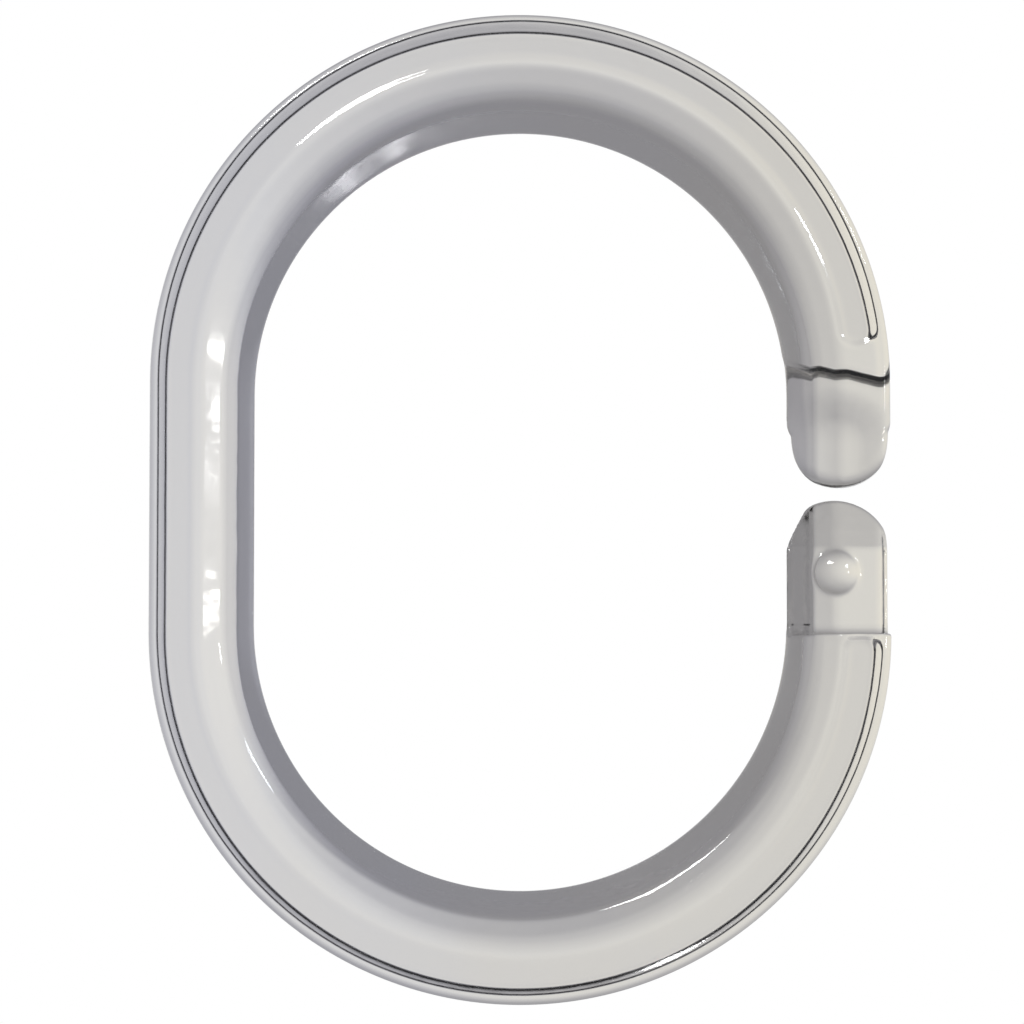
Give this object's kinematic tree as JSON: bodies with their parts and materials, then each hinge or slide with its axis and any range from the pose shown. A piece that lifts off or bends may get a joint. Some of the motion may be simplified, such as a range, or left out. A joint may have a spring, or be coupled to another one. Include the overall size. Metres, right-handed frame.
{
  "type": "curtain ring",
  "caption": "Clear plastic oval curtain ring, a springy open C whose lapped ends snap together.",
  "frame": {"origin": "middle of the ring's overall box, in the opening, halfway through the ring's depth", "axes": "+Z from the bottom of the oval to the top, +X from the straight back towards the gap, +Y from the grooved front face to the plain back face"},
  "size_m": [0.0448, 0.007, 0.06],
  "materials": {
    "clear_plastic": "clear rigid plastic, glossy as moulded, with a faint lilac-grey cast"
  },
  "bodies": {
    "upper": {"upper_arm": "clear_plastic"},
    "lower": {"lower_arm": "clear_plastic"}
  },
  "joints": [
    {"name": "back_flex", "type": "hinge", "parent": "upper", "child": "lower", "pos_m": [-0.0193, 0, 0], "axis": [0, 1, 0], "range_deg": [-11.3, 30], "stiffness_Nm_per_rad": 0.12}
  ]
}
